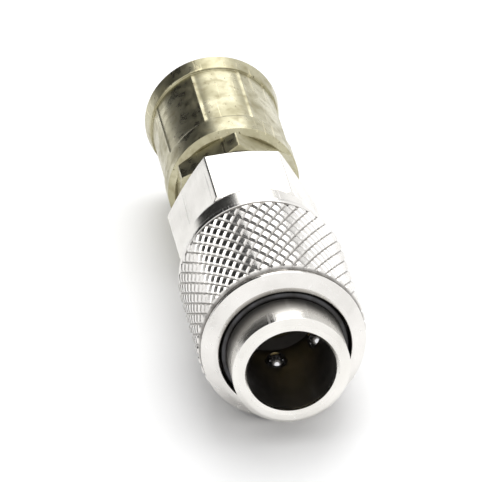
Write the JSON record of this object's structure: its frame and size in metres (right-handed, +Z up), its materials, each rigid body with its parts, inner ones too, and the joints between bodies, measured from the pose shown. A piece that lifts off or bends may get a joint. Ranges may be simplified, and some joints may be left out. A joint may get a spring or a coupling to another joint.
{
  "type": "quick disconnect coupler",
  "caption": "Ball-lock quick disconnect air coupler: a knurled sleeve slides back to free the plug, a sprung valve shuts the air, and a spanner hexagon leads to a crimped brass hose tail.",
  "frame": {"origin": "on the coupler's axis, in the front plane of its mouth", "axes": "+X points out of the mouth, the way the plug leaves; +Z is up, square to a flat of the spanner hexagon"},
  "size_m": [0.0722, 0.023, 0.023],
  "materials": {
    "plated_body": "nickel-plated, turned and polished",
    "plated_sleeve": "nickel-plated, with a diamond knurl",
    "spring_steel": "drawn wire and strip",
    "blackened_steel": "blackened spring wire",
    "ball_steel": "polished bearing balls",
    "fitting_brass": "turned and crimped, slightly tarnished",
    "valve_brass": "turned",
    "seal_rubber": "moulded",
    "washer_plastic": "stamped sealing washer"
  },
  "bodies": {
    "coupler": {"coupler_body": "plated_body", "sleeve_retaining_ring": "blackened_steel", "sleeve_spring": "spring_steel", "plug_seal": "seal_rubber", "valve_spring": "spring_steel", "valve_spring_guide": "valve_brass", "rear_adapter": "plated_body", "body_seal": "seal_rubber", "tail_washer": "washer_plastic", "hose_tail": "fitting_brass", "hose_ferrule": "fitting_brass"},
    "spring_washer": {"sleeve_spring_washer": "spring_steel"},
    "sleeve": {"locking_sleeve": "plated_sleeve"},
    "valve": {"valve_poppet": "valve_brass", "valve_seal": "seal_rubber"},
    "ball_1": {"locking_ball_1": "ball_steel"},
    "ball_2": {"locking_ball_2": "ball_steel"},
    "ball_3": {"locking_ball_3": "ball_steel"},
    "ball_4": {"locking_ball_4": "ball_steel"},
    "ball_5": {"locking_ball_5": "ball_steel"},
    "ball_6": {"locking_ball_6": "ball_steel"}
  },
  "joints": [
    {"name": "sleeve_slide", "type": "slide", "parent": "coupler", "child": "spring_washer", "axis": [1, 0, 0], "range_m": [-0.004, 0], "stiffness_N_per_m": 1500, "springref_m": 0.004, "deforming": ["sleeve_spring"]},
    {"name": "sleeve_turn", "type": "hinge", "parent": "spring_washer", "child": "sleeve", "pos_m": [-0.01754, 0, 0], "axis": [1, 0, 0], "continuous": true},
    {"name": "valve_slide", "type": "slide", "parent": "coupler", "child": "valve", "axis": [1, 0, 0], "range_m": [-0.004, 0], "stiffness_N_per_m": 400, "springref_m": 0.003, "deforming": ["valve_spring"]},
    {"name": "ball_1_slide", "type": "slide", "parent": "coupler", "child": "ball_1", "axis": [0, 0, 1], "range_m": [0, 0.00104]},
    {"name": "ball_2_slide", "type": "slide", "parent": "coupler", "child": "ball_2", "axis": [0, -0.866, 0.5], "range_m": [0, 0.00104]},
    {"name": "ball_3_slide", "type": "slide", "parent": "coupler", "child": "ball_3", "axis": [0, -0.866, -0.5], "range_m": [0, 0.00104]},
    {"name": "ball_4_slide", "type": "slide", "parent": "coupler", "child": "ball_4", "axis": [0, 0, -1], "range_m": [0, 0.00104]},
    {"name": "ball_5_slide", "type": "slide", "parent": "coupler", "child": "ball_5", "axis": [0, 0.866, -0.5], "range_m": [0, 0.00104]},
    {"name": "ball_6_slide", "type": "slide", "parent": "coupler", "child": "ball_6", "axis": [0, 0.866, 0.5], "range_m": [0, 0.00104]}
  ],
  "couplings": [
    {"joint": "ball_1_slide", "follows": "sleeve_slide", "ratio": -0.25862},
    {"joint": "ball_2_slide", "follows": "sleeve_slide", "ratio": -0.25862},
    {"joint": "ball_3_slide", "follows": "sleeve_slide", "ratio": -0.25862},
    {"joint": "ball_4_slide", "follows": "sleeve_slide", "ratio": -0.25862},
    {"joint": "ball_5_slide", "follows": "sleeve_slide", "ratio": -0.25862},
    {"joint": "ball_6_slide", "follows": "sleeve_slide", "ratio": -0.25862}
  ]
}
